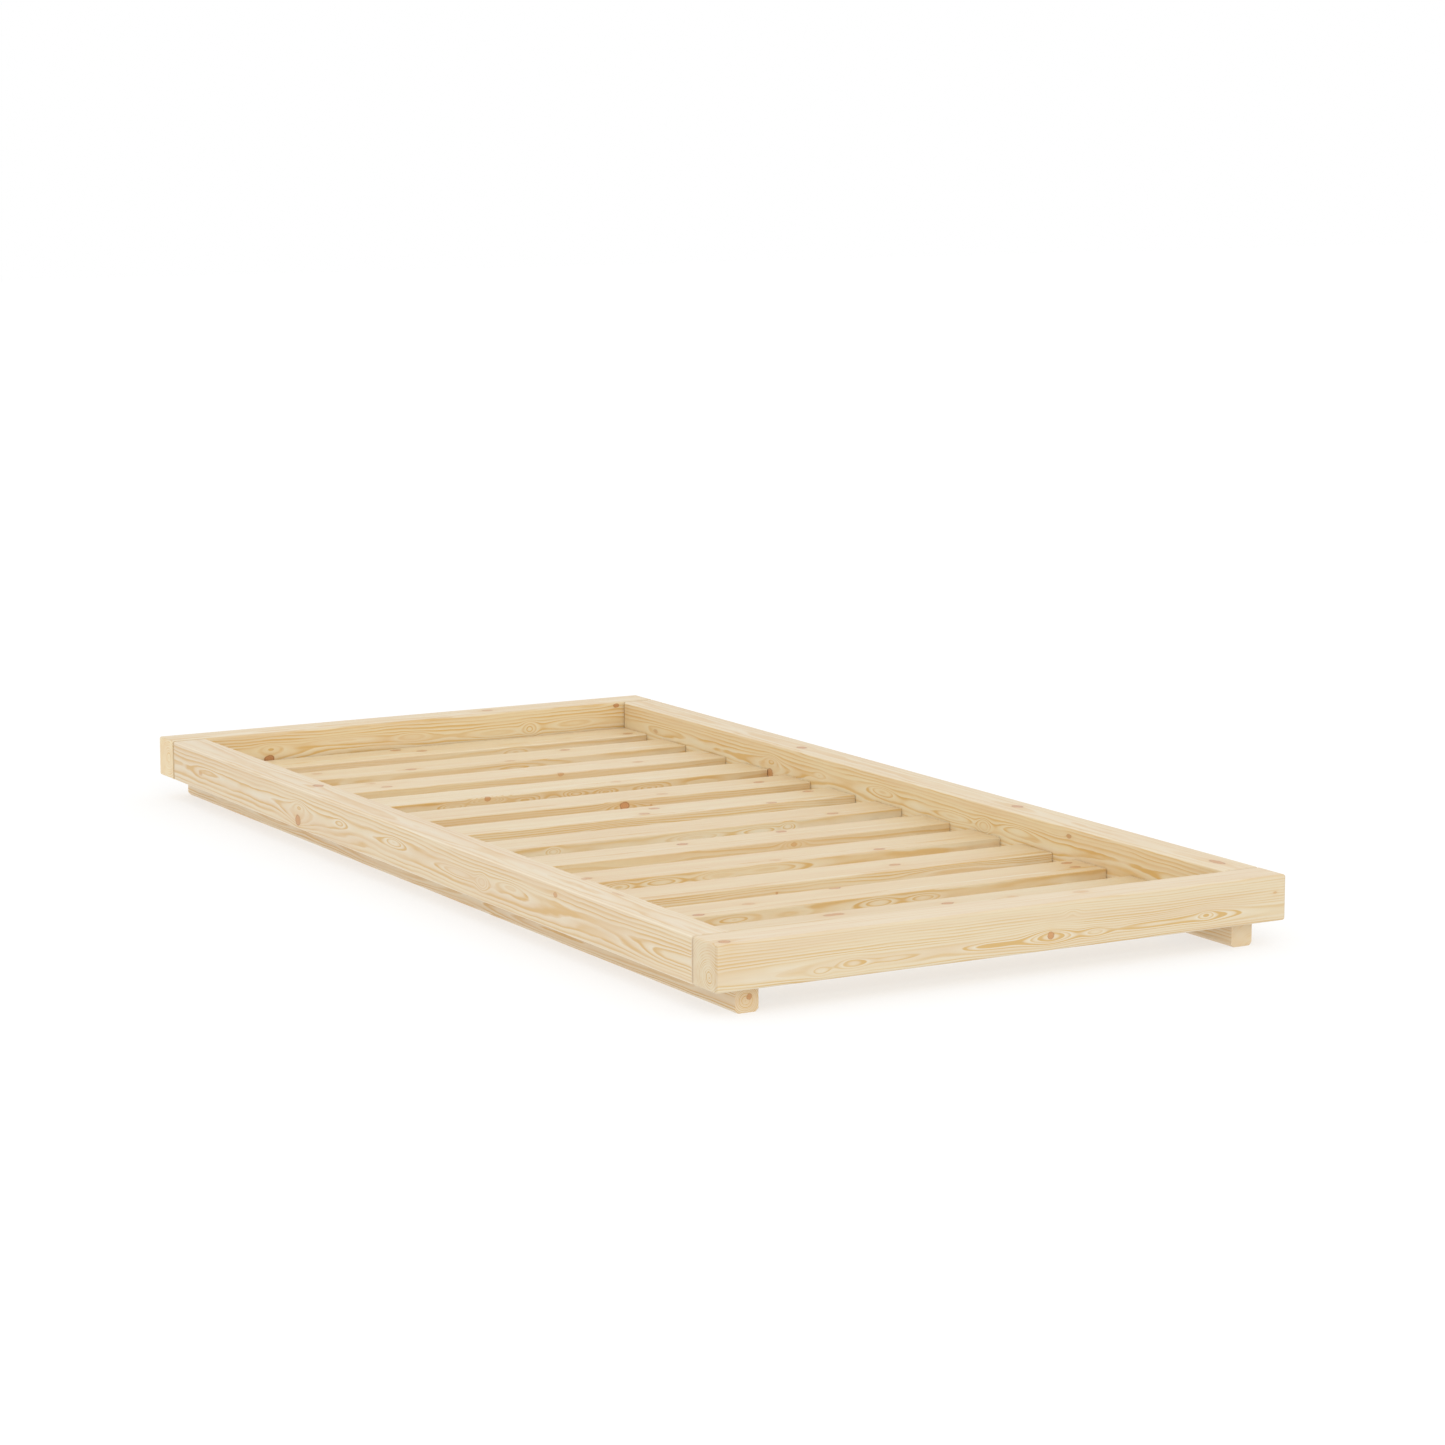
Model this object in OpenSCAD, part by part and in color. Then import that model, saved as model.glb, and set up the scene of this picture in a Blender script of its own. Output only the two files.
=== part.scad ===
// Low solid-wood bed frame for one mattress: four rounded rails around a slatted base, standing on two
// runners. The end rails span the full width and the side rails butt between them.
// Origin on the floor under the middle of the frame, +X across, +Y towards the head end, +Z up.

/* [Mattress opening] */
// Clear width between the side rails
opening_w = 906; // [700:1:1600]
// Clear length between the end rails
opening_l = 2000; // [1600:1:2200]

/* [Rails] */
// Height of all four rails
rail_h = 74; // [70:1:120]
// Thickness of the side rails
side_t = 67; // [60:1:90]
// Thickness of the end rails
end_t = 70; // [60:1:90]
// Radius on every edge of the rails
rail_r = 4.5; // [2:0.5:8]

/* [Runners] */
// Height of the runners that the frame stands on
runner_h = 40; // [32:1:80]
// Width of a runner
runner_w = 40; // [36:1:50]
// How far a runner stands in past its side rail, as the ledge for the slats
ledge_w = 20; // [15:1:25]
// How far a runner's ends stop short of the frame's ends
runner_inset = 25; // [10:1:35]
// Chamfer along the bottom edges of a runner
foot_chamfer = 5; // [2:0.5:8]
// Chamfer along a runner's other edges
eased_edge = 1; // [0.5:0.5:2]

/* [Slats] */
// Number of slats
slat_count = 13; // [9:1:17]
// Width of a slat
slat_w = 92; // [60:1:100]
// Thickness of a slat
slat_t = 22; // [16:1:28]
// Radius on the long edges of a slat
slat_r = 2; // [1:0.5:4]
// Gap between an end rail and the first slat
end_gap = 6; // [2:1:20]
// Gap between a slat's end and the side rail
side_gap = 1; // [0.5:0.5:3]

/* [Slat tapes] */
// Width of a tape
tape_w = 25; // [20:1:40]
// Thickness of a tape
tape_t = 1.2; // [0.8:0.1:2]
// Distance from a runner's inner face to the middle of its tape
tape_offset = 40; // [25:1:120]
// Width of a staple's crown
staple_w = 12; // [8:1:16]
// Length of a staple's legs, measured from under its crown
staple_leg = 12; // [8:1:14]

/* [Corner fittings] */
// Diameter of the stud that pulls a corner together
stud_d = 8; // [6:1:10]
// Depth of the stud in the end rail
stud_embed = 35; // [25:1:45]
// Diameter of the pocket bored up into the side rail for the nut
pocket_d = 24; // [22:1:28]
// Distance from the joint to the middle of the pocket
pocket_back = 42; // [36:1:60]
// Diameter of the dowels
dowel_d = 8; // [6:1:10]
// Length of the dowels
dowel_l = 40; // [30:1:50]
// Distance of a dowel above or below the stud
dowel_off = 22; // [16:1:24]

/* [Runner screws] */
// Length of a screw
screw_l = 60; // [50:1:70]
// Diameter of a screw's thread
screw_d = 5; // [4:0.5:6]
// Screws along each side rail
side_screws = 5; // [2:1:9]
// How deep a screw's head is sunk in the runner
head_depth = 8; // [4:1:15]

/* [Hidden] */
$fn = 64;
clear = 0.05; // radial clearance around every dowel, stud and screw
hole_extra = 1; // how much deeper than its dowel, stud or screw a blind hole runs

frame_w = opening_w + 2 * side_t;
frame_l = opening_l + 2 * end_t;
joint_y = opening_l / 2;
runner_l = frame_l - 2 * runner_inset;
runner_x = opening_w / 2 - ledge_w + runner_w / 2;
slat_l = opening_w - 2 * side_gap;
slat_pitch = (opening_l - 2 * end_gap - slat_w) / (slat_count - 1);
tape_x = opening_w / 2 - ledge_w - tape_offset;
tape_l = (slat_count - 1) * slat_pitch + slat_w - 10;

stud_x = (opening_w + side_t) / 2;
stud_z = runner_h + rail_h / 2;
pocket_y = joint_y - pocket_back;
pocket_top = stud_z + 14;
washer_r = pocket_d / 2 - 0.1;
washer_t = 5;
washer_h = 20;
washer_flat = washer_r - washer_t;
nut_flats = 1.625 * stud_d;
nut_t = 0.8 * stud_d;
stud_end = pocket_back - washer_flat + nut_t + 4;

head_r = screw_d;
head_h = 3;
bit_flats = 3.5;
bit_depth = 2;
side_screw_x = (opening_w + runner_w - ledge_w) / 2;
end_screw_y = (joint_y + runner_l / 2) / 2;
side_screw_pitch = opening_l / side_screws;

staple_wire = 0.6;
staple_y = slat_w / 4;

wood = "BurlyWood";
hardwood = "Tan";
steel = "Silver";
webbing = "Ivory";

function slat_name(i) = str("slat_", i < 10 ? "0" : "", i);
function slat_y(i) = (i - (slat_count + 1) / 2) * slat_pitch;

// ---- Shared shapes ----

// Rectangle with round corners, centred
module round_rect(w, h, r) {
    square([w - 2 * r, h], center = true);
    square([w, h - 2 * r], center = true);
    for (sx = [-1, 1], sy = [-1, 1])
        translate([sx * (w / 2 - r), sy * (h / 2 - r)])
            circle(r);
}

// Beam centred on the origin, with every edge rounded
module round_beam(x, y, z, r) {
    intersection() {
        linear_extrude(z, center = true) round_rect(x, y, r);
        rotate([90, 0, 0]) linear_extrude(y, center = true) round_rect(x, z, r);
        rotate([90, 0, 90]) linear_extrude(x, center = true) round_rect(y, z, r);
    }
}

// Cylinder along +Y that starts at the origin
module rod_y(d, l) {
    rotate([-90, 0, 0]) cylinder(d = d, h = l);
}

// Does something once in each corner, seen as the corner at +X and +Y
module each_corner() {
    for (mx = [0, 1], my = [0, 1])
        mirror([mx, 0, 0]) mirror([0, my, 0]) children();
}

// Does something at each screw of the runner at +X
module each_screw() {
    for (i = [1:side_screws])
        translate([side_screw_x, (i - (side_screws + 1) / 2) * side_screw_pitch, head_depth])
            children();
    for (s = [-1, 1])
        translate([runner_x, s * end_screw_y, head_depth])
            children();
}

// ---- Fittings, each as one piece in the corner at +X and +Y ----

// Dowel with chamfered ends; grow makes its hole
module dowel(grow = 0) {
    r = dowel_d / 2 + (grow > 0 ? clear : 0);
    half = dowel_l / 2 + grow;
    bevel = grow > 0 ? 0 : 1;
    rotate([-90, 0, 0])
        rotate_extrude()
            polygon([
                [0, -half], [r - bevel, -half], [r, bevel - half],
                [r, half - bevel], [r - bevel, half], [0, half]
            ]);
}

module dowel_pair(grow = 0) {
    for (s = [-1, 1])
        translate([stud_x, joint_y, stud_z + s * dowel_off]) dowel(grow);
}

module stud() {
    translate([stud_x, joint_y - stud_end, stud_z])
        rod_y(stud_d, stud_end + stud_embed);
}

module stud_hole() {
    translate([stud_x, joint_y - pocket_back, stud_z])
        rod_y(stud_d + 2 * clear, pocket_back + stud_embed + hole_extra);
}

// Half-moon plate that lies against the pocket's wall and takes the nut on its flat side
module crescent_washer() {
    difference() {
        translate([stud_x, pocket_y, stud_z])
            intersection() {
                cylinder(r = washer_r, h = washer_h, center = true);
                translate([-washer_r, washer_flat, -washer_h]) cube([2 * washer_r, washer_t, 2 * washer_h]);
            }
        stud_hole();
    }
}

module corner_nut() {
    difference() {
        translate([stud_x, pocket_y + washer_flat, stud_z])
            rotate([90, 0, 0])
                cylinder(d = nut_flats / cos(30), h = nut_t, $fn = 6);
        stud_hole();
    }
}

module nut_pocket() {
    translate([stud_x, pocket_y, runner_h - 1])
        cylinder(d = pocket_d, h = pocket_top - runner_h + 1);
}

// Countersunk screw standing point up, its head at the origin
module screw() {
    r = screw_d / 2;
    difference() {
        rotate_extrude()
            polygon([[0, 0], [head_r, 0], [r, head_h], [r, screw_l - 2 * r], [0, screw_l]]);
        translate([0, 0, -1]) cylinder(d = bit_flats / cos(30), h = bit_depth + 1, $fn = 6);
    }
}

// Room for a screw and for the bit that drives it
module screw_hole() {
    r = screw_d / 2 + clear;
    wide = head_r + 0.5;
    rotate_extrude()
        polygon([
            [0, -head_depth - 1], [wide, -head_depth - 1], [wide, 0], [head_r + clear, 0],
            [r, head_h], [r, screw_l + hole_extra], [0, screw_l + hole_extra]
        ]);
}

// ---- Rails and runners ----

// Room for the corner fittings and screws in whichever rail or runner they meet
module bores() {
    each_corner() {
        dowel_pair(hole_extra);
        stud_hole();
    }
    for (mx = [0, 1]) mirror([mx, 0, 0]) each_screw() screw_hole();
}

module end_rail(end) {
    color(wood)
        difference() {
            translate([0, end * (joint_y + end_t / 2), stud_z])
                round_beam(frame_w, end_t, rail_h, rail_r);
            bores();
        }
}

module side_rail(side) {
    color(wood)
        difference() {
            translate([side * stud_x, 0, stud_z])
                round_beam(side_t, opening_l, rail_h, rail_r);
            bores();
            each_corner() nut_pocket();
        }
}

module runner(side) {
    c = foot_chamfer;
    e = eased_edge;
    w = runner_w / 2;
    h = runner_h;
    color(wood)
        difference() {
            translate([side * runner_x, 0, 0])
                rotate([90, 0, 0])
                    linear_extrude(runner_l, center = true)
                        polygon([
                            [c - w, 0], [w - c, 0], [w, c], [w, h - e],
                            [w - e, h], [e - w, h], [-w, h - e], [-w, c]
                        ]);
            bores();
        }
}

module foot_rail() { end_rail(-1); }
module head_rail() { end_rail(1); }
module left_side_rail() { side_rail(-1); }
module right_side_rail() { side_rail(1); }
module left_runner() { runner(-1); }
module right_runner() { runner(1); }

// ---- Slatted base ----

// A staple's two legs, reaching up from under its crown
module staple_legs() {
    for (s = [-1, 1])
        translate([s * (staple_w - staple_wire) / 2, 0, staple_leg / 2])
            cube([staple_wire, 2 * staple_wire, staple_leg], center = true);
}

// Two staples where each tape crosses a slat
module each_staple(i) {
    for (sx = [-1, 1], sy = [-1, 1])
        translate([sx * tape_x, slat_y(i) + sy * staple_y, runner_h - tape_t])
            children();
}

module slat(i) {
    color(wood)
        difference() {
            translate([0, slat_y(i), runner_h + slat_t / 2])
                rotate([90, 0, 90])
                    linear_extrude(slat_l, center = true)
                        round_rect(slat_w, slat_t, slat_r);
            each_staple(i) staple_legs();
        }
}

module tape(side) {
    color(webbing)
        difference() {
            translate([side * tape_x, 0, runner_h - tape_t / 2])
                cube([tape_w, tape_l, tape_t], center = true);
            for (i = [1:slat_count]) each_staple(i) staple_legs();
        }
}

module left_tape() { tape(-1); }
module right_tape() { tape(1); }

module tape_staples() {
    color(steel)
        for (i = [1:slat_count])
            each_staple(i) {
                staple_legs();
                translate([0, 0, -staple_wire / 2])
                    cube([staple_w, 2 * staple_wire, staple_wire], center = true);
            }
}

// ---- Hardware groups ----

module corner_dowels() { color(hardwood) each_corner() dowel_pair(); }
module corner_studs() { color(steel) each_corner() stud(); }
module crescent_washers() { color(steel) each_corner() crescent_washer(); }
module corner_nuts() { color(steel) each_corner() corner_nut(); }
module runner_screws() { color(steel) for (mx = [0, 1]) mirror([mx, 0, 0]) each_screw() screw(); }

foot_rail();
head_rail();
left_side_rail();
right_side_rail();
left_runner();
right_runner();
for (i = [1:slat_count])
    slat(i);
left_tape();
right_tape();
tape_staples();
corner_dowels();
corner_studs();
crescent_washers();
corner_nuts();
runner_screws();
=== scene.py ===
import math
from collections import namedtuple

import bmesh
import bpy
from mathutils import Matrix, Vector


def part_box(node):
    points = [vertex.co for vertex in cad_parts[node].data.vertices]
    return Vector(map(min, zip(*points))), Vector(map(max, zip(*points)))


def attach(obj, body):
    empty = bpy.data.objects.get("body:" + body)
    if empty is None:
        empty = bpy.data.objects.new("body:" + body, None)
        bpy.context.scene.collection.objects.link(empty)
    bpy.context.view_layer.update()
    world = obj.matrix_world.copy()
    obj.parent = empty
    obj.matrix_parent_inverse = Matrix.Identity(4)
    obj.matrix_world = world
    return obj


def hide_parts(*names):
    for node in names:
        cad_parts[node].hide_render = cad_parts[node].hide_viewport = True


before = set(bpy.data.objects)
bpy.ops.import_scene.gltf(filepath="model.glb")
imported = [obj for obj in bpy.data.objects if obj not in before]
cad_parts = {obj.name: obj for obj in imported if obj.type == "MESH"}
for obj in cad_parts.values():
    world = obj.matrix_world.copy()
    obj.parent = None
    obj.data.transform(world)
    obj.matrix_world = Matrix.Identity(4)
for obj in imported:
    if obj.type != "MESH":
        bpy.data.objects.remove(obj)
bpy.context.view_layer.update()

MM = 0.001
TURN = 2 * math.pi
X, Y = 0, 1
SLATS = [f"slat_{i:02d}" for i in range(1, 14)]

# ---- Camera, light and floor ----

# The yaw turns the camera from +Y towards +X, and the pitch tips it down.
CAMERA_PLACE = (-3.3235, -5.9578, 1.3540)
CAMERA_YAW = math.radians(29.937)
CAMERA_PITCH = math.radians(9.203)
CAMERA_LENS = 98.88
CAMERA_REACH = 100
WHITE = (1, 1, 1, 1)
SKY_STRENGTH = 1.0
LAMP_PLACE = (-1.5, -4.5, 3.2)
LAMP_SIZE = 3.0
LAMP_POWER = 38
# The floor glows, to come out nearly white, and lies just below the runners.
FLOOR_SIZE = 40.0
FLOOR_TONE = (0.40, 0.40, 0.40)
FLOOR_GLOW = 0.61
FLOOR_DROP = 0.0002


def make_camera():
    camera = bpy.data.objects.new("camera", bpy.data.cameras.new("camera"))
    bpy.context.scene.collection.objects.link(camera)
    camera.location = CAMERA_PLACE
    camera.rotation_euler = (math.pi / 2 - CAMERA_PITCH, 0, -CAMERA_YAW)
    camera.data.lens = CAMERA_LENS
    camera.data.clip_end = CAMERA_REACH
    bpy.context.scene.camera = camera


def make_light():
    """An even white sky, and one soft lamp that shines on the middle of the bed."""
    scene = bpy.context.scene
    scene.view_settings.view_transform = "Standard"
    world = bpy.data.worlds.new("studio")
    world.use_nodes = True
    sky = world.node_tree.nodes["Background"]
    sky.inputs["Color"].default_value = WHITE
    sky.inputs["Strength"].default_value = SKY_STRENGTH
    scene.world = world
    soft_box = bpy.data.lights.new("soft_box", "AREA")
    soft_box.shape = "DISK"
    soft_box.size = LAMP_SIZE
    soft_box.energy = LAMP_POWER
    lamp = bpy.data.objects.new("soft_box", soft_box)
    scene.collection.objects.link(lamp)
    lamp.location = LAMP_PLACE
    lamp.rotation_euler = (-lamp.location).to_track_quat("-Z", "Y").to_euler()


# ---- Node trees ----

class Graph:
    """A material's node tree. Every value may be a socket, a number or a tuple."""

    def __init__(self, name):
        self.material = bpy.data.materials.new(name)
        self.material.use_nodes = True
        self.tree = self.material.node_tree
        self.tree.nodes.clear()

    def put(self, socket, value):
        """Links an input socket to another socket, or gives it a constant."""
        if isinstance(value, bpy.types.NodeSocket):
            self.tree.links.new(value, socket)
        elif isinstance(value, tuple) and socket.type == "RGBA":
            socket.default_value = (*value, 1)
        elif socket.type == "VECTOR" and not isinstance(value, tuple):
            socket.default_value = (value, value, value)
        else:
            socket.default_value = value

    def node(self, kind, inputs, output=0, **settings):
        """Adds a node and returns one of its outputs."""
        made = self.tree.nodes.new("ShaderNode" + kind)
        for key, value in settings.items():
            setattr(made, key, value)
        for key, value in inputs.items():
            self.put(made.inputs[key], value)
        return made.outputs[output]

    def math(self, operation, *values):
        return self.node("Math", dict(enumerate(values)), operation=operation)

    def vector(self, operation, *values):
        output = 1 if operation in ("LENGTH", "DOT_PRODUCT") else 0
        return self.node("VectorMath", dict(enumerate(values)), output, operation=operation)

    def scale(self, vector, factor):
        return self.node("VectorMath", {"Vector": vector, "Scale": factor}, operation="SCALE")

    def parts(self, vector):
        """The X, Y and Z of a vector."""
        return self.node("SeparateXYZ", {0: vector}).node.outputs

    def span(self, value, low, high, to_low=0.0, to_high=1.0):
        """Turns low..high smoothly into to_low..to_high."""
        inputs = {"Value": value, "From Min": low, "From Max": high, "To Min": to_low, "To Max": to_high}
        return self.node("MapRange", inputs, interpolation_type="SMOOTHSTEP")

    def decay(self, distance, rate=0.37):
        """1 at no distance, and times this rate for each unit of distance."""
        return self.math("POWER", rate, distance)

    def mix(self, factor, a, b):
        """Mixes two colours. The colour sockets go by number, as others share their names."""
        return self.node("Mix", {0: factor, 6: a, 7: b}, 2, data_type="RGBA")

    def noise(self, vector, detail=2.0, output=0):
        return self.node("TexNoise", {"Vector": vector, "Scale": 1.0, "Detail": detail}, output)

    def shader(self, colour, roughness, height, bump_depth, **constants):
        """Ends the tree in a Principled shader and returns the material."""
        bump = self.node("Bump", {"Height": height, "Distance": bump_depth, "Strength": 1.0})
        surface = self.tree.nodes.new("ShaderNodeBsdfPrincipled")
        self.put(surface.inputs["Base Color"], colour)
        self.put(surface.inputs["Roughness"], roughness)
        self.put(surface.inputs["Normal"], bump)
        for key, value in constants.items():
            surface.inputs[key.replace("_", " ")].default_value = value
        end = self.tree.nodes.new("ShaderNodeOutputMaterial")
        self.tree.links.new(surface.outputs[0], end.inputs["Surface"])
        return self.material


# ---- Pine ----

# Colours of the early wood, of plain wood in two tones, of the late wood, of the knots and their edges, of
# the painted shade in seams and corners and of the painted highlight on edges
PALE = (0.785, 0.672, 0.490)
CREAM = (0.768, 0.622, 0.405)
ROSY = (0.735, 0.548, 0.340)
LATEWOOD = (0.660, 0.405, 0.130)
KNOT = (0.580, 0.280, 0.110)
KNOT_EDGE = (0.360, 0.150, 0.050)
PAINTED_SHADE = (0.430, 0.285, 0.150)
EDGE_HIGHLIGHT = (0.860, 0.765, 0.600)

# About how wide the painted shade line at a seam is, and how deep a board's top colour goes before its side
# colour, with its painted light and shade, takes over, in mm
SEAM_WIDTH = 2.0
EDGE_DEPTH = 3.0

# Strengths of the painted shade in the seam at a side rail's ends and in the seam on an end rail's inner
# face, of the painted highlight on a side rail's edges and of the painted shade at an end rail's upright
# corners
SEAM_SHADE_TONE = 0.45
BUTT_SHADE_TONE = 0.5
EDGE_HIGHLIGHT_TONE = 0.6
CORNER_SHADE_TONE = 0.25

# The size of each noise in the wood, along and across the grain, in mm
SLOW_WANDER = (420, 130)
FINE_WANDER = (95, 26)
UNEVEN_KNOTS = (9, 5)
PASSING_RINGS = (190, 15)
FIBRES = (28, 0.8)
TONES = (330, 24)
SPECKS = (34, 7)

# The slow waves of the grain, in mm, and how bold the rings are at the heart of the tree
WAVE = 14
RING_BOLDNESS = 1.7

# The height of the wood's relief
WOOD_BUMP = 0.02 * MM

# Knots, in their own radii: no knot at all, how uneven an outline is, and how fast its pull dies down
NO_KNOT = 9.0
UNEVENNESS = 0.6
KNOT_PULL = 0.42

# A knot or an eye in a board's figure, in mm. at is how far along the grain, in from the outer face
# and down from the top it lies; size is its half length, width and depth in the same order. swell is
# added to the distance from the heart that the growth rings follow: below 0 they bulge outwards.
# core is how dark its knot is, 0 for none.
Figure = namedtuple("Figure", "at size swell core", defaults=(0,))

# A board's wood, in mm. pith is where the heart of the tree lies, in from the outer face and down from
# the top; lean is how far the rings drift per metre along the board; ring is the width of a growth ring;
# ripple is how far the small waves of the grain go; fade is how far from the heart the rings stay bold.
# tint colours the top of the board, and edge its sides and underside; where they differ, edge paints the
# light and shade that fall on the sides.
Wood = namedtuple("Wood", "seed pith lean ring ripple fade tint edge figures")


def timber(seed, pith, lean=0, ring=3.2, ripple=3, fade=50, tint=(1, 1, 1), edge=None, figures=()):
    """A board's wood. The sides of the board take its tint too, where they are given no painted light or
    shade of their own.
    """
    return Wood(seed, pith, lean, ring, ripple, fade, tint, edge or tint, figures)


def board_point(g, node, grain, flips):
    """A point of the board in mm: along the grain, in from the outer face, down from the top. flips
    says along which axes of the frame it is measured from the high end."""
    low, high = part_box(node)
    start = [high[i] if flips[i] else low[i] for i in range(3)]
    scale = [(-1 if flips[i] else 1) / MM for i in range(3)]
    offset = tuple(-start[i] * scale[i] for i in range(3))
    point = g.vector("MULTIPLY_ADD", g.node("TexCoord", {}, "Object"), tuple(scale), offset)
    if grain == "X":
        return point
    x, y, z = g.parts(point)
    return g.node("CombineXYZ", {0: y, 1: x, 2: z})


def stretched(g, point, wood, size):
    """The point scaled so that noise has features of this size, and moved to a place of the board's own."""
    along, across = size
    seed = (wood.seed * 7.31, wood.seed * 3.17, wood.seed * 5.93)
    return g.vector("MULTIPLY_ADD", point, (1 / along, 1 / across, 1 / across), seed)


def stretched_noise(g, point, wood, size, detail, output=0):
    return g.noise(stretched(g, point, wood, size), detail, output)


def heart_distance(g, point, wood):
    """How far the point is from the heart of the tree, across the wandering grain."""
    slow = stretched_noise(g, point, wood, SLOW_WANDER, 1.0, "Color")
    fine = stretched_noise(g, point, wood, FINE_WANDER, 2.0, "Color")
    middle = 0.5 * (WAVE + wood.ripple)
    heart = (0, -wood.pith[0] - middle, -wood.pith[1] - middle)
    wander = g.vector("MULTIPLY_ADD", slow, (0, WAVE, WAVE), heart)
    wander = g.vector("MULTIPLY_ADD", fine, (0, wood.ripple, wood.ripple), wander)
    across = g.vector("LENGTH", g.vector("MULTIPLY_ADD", point, (0, 1, 1), wander))
    along = g.vector("DOT_PRODUCT", point, (wood.lean * MM, 0, 0))
    return g.math("ADD", across, along)


def bend_round_figures(g, point, wood, age):
    """Bends the growth rings round the knots and eyes. Also returns how near the nearest knot is, in
    knot radii, and how strong it is here. A knot bends them more widely than an eye, and its own
    outline is uneven."""
    uneven = stretched_noise(g, point, wood, UNEVEN_KNOTS, 2.0)
    nearest = NO_KNOT
    core = 0.0
    for figure in wood.figures:
        scale = tuple(1 / s for s in figure.size)
        offset = tuple(-a / s for a, s in zip(figure.at, figure.size))
        reach = g.vector("LENGTH", g.vector("MULTIPLY_ADD", point, scale, offset))
        spread = g.math("MULTIPLY", reach, KNOT_PULL if figure.core else reach)
        age = g.math("MULTIPLY_ADD", g.decay(spread), figure.swell, age)
        if figure.core:
            reach = g.math("MULTIPLY_ADD", uneven, UNEVENNESS, g.math("SUBTRACT", reach, UNEVENNESS / 2))
            nearest = g.math("MINIMUM", reach, nearest)
            core = g.math("MAXIMUM", core, g.span(reach, 1.12, 0.88, 0.0, figure.core))
    return age, nearest, core


def growth_rings(g, point, wood, age):
    """How pale the early wood and how strong the late wood is here. Each ring starts pale and ends in
    a thin golden line. Rings differ in width and boldness, and they come and go along the board."""
    # Rings of uneven width
    count = g.math("DIVIDE", age, wood.ring)
    count = g.math("MULTIPLY_ADD", g.noise(g.scale(count, 0.33), 1.0), 1.4, count)
    within = g.math("FRACT", count)

    # A boldness for each ring, less in patches and far from the heart
    weight = g.node("TexWhiteNoise", {"W": g.math("FLOOR", count)}, noise_dimensions="1D")
    weight = g.span(weight, 0.0, 1.0, 0.42, 1.0)
    passing = g.span(stretched_noise(g, point, wood, PASSING_RINGS, 2.0), 0.36, 0.60, 0.35, 1.0)
    bold = g.math("MULTIPLY", g.decay(g.math("DIVIDE", age, wood.fade)), RING_BOLDNESS)
    weight = g.math("MULTIPLY", g.math("MULTIPLY", weight, passing), bold)

    # The profile across one ring
    early = g.math("MULTIPLY", g.span(within, 0.45, 0.0), weight)
    late = g.math("MULTIPLY", g.span(within, 0.40, 0.80), g.span(within, 1.0, 0.86))
    return early, g.math("MINIMUM", g.math("MULTIPLY", late, weight), 1.0)


def plain_wood(g, point, wood, tone, fibre, early, late):
    """The colour of the wood between its knots, in the board's tint; below the top, the side tint paints
    the light and shade that the sides get.
    """
    colour = g.mix(g.span(tone, 0.38, 0.68, 0.0, 0.7), CREAM, ROSY)
    colour = g.mix(g.math("MULTIPLY", early, 0.8), colour, PALE)
    colour = g.mix(g.math("MULTIPLY", late, 0.9), colour, LATEWOOD)
    shade = g.math("MULTIPLY_ADD", fibre, 0.11, 0.945)
    # The top takes the tint, and the sides take the edge tint with its painted light and shade
    tint = g.mix(g.span(g.parts(point)[2], 0.5, EDGE_DEPTH), wood.tint, wood.edge)
    return g.vector("MULTIPLY", colour, g.scale(tint, shade))


def resin_specks(g, point, wood, colour):
    speck = g.node("TexVoronoi", {"Vector": stretched(g, point, wood, SPECKS)})
    return g.mix(g.span(speck, 0.055, 0.02, 0.0, 0.4), colour, KNOT)


def knots(g, nearest, core, colour):
    """Gives each knot a warm halo, rings and a dark edge."""
    halo = g.math("MULTIPLY", g.decay(nearest, 0.35), 0.8)
    colour = g.mix(halo, colour, LATEWOOD)
    rings = g.math("SINE", g.math("MULTIPLY", nearest, 17.0))
    edge = g.span(nearest, 0.62, 0.98, 0.08, 0.75)
    heart = g.mix(g.math("MULTIPLY_ADD", rings, 0.20, edge), KNOT, KNOT_EDGE)
    return g.mix(core, colour, heart)


def facing(g):
    """How squarely the surface faces along each of the three axes, from 0 to 1."""
    return g.parts(g.vector("ABSOLUTE", g.node("TexCoord", {}, "Normal")))


def painted_edge_highlight(g, colour):
    """Paints a highlight on the rounded edges of a board, making them a little paler."""
    x, y, z = facing(g)
    flatness = g.math("MAXIMUM", g.math("MAXIMUM", x, y), z)
    return g.mix(g.span(flatness, 0.98, 0.80, 0.0, EDGE_HIGHLIGHT_TONE), colour, EDGE_HIGHLIGHT)


def painted_corner_shade(g, colour):
    """Paints shade on the upright corners of a board, making them a little darker."""
    x, y, _ = facing(g)
    corner = g.math("MULTIPLY", x, y)
    return g.mix(g.span(corner, 0.10, 0.40, 0.0, CORNER_SHADE_TONE), colour, PAINTED_SHADE)


def near_border(g, value, border):
    """1 just inside a border of the board, 0 a few mm away from it."""
    return g.span(value, border - 2 * SEAM_WIDTH, border - SEAM_WIDTH / 2)


def painted_seam_shade(g, point, node, colour):
    """Paints shade where a rail meets its neighbours, darkening it: a side rail at its cut ends, an end
    rail along the part of its inner face that the side rails butt against."""
    low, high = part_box(node)
    size = (high - low) / MM
    along, inward, _ = g.parts(point)
    length = max(size)
    from_middle = g.math("ABSOLUTE", g.math("SUBTRACT", along, length / 2))
    if "side" in node:
        seam_shade = g.math("MULTIPLY", near_border(g, from_middle, length / 2), SEAM_SHADE_TONE)
        return g.mix(seam_shade, colour, PAINTED_SHADE)
    rail_low, rail_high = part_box("left_side_rail")
    butt = length / 2 - (rail_high - rail_low).x / MM
    butt_shade = g.span(from_middle, butt, butt + SEAM_WIDTH, 0.0, BUTT_SHADE_TONE)
    return g.mix(g.math("MULTIPLY", near_border(g, inward, size.y), butt_shade), colour, PAINTED_SHADE)


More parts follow.
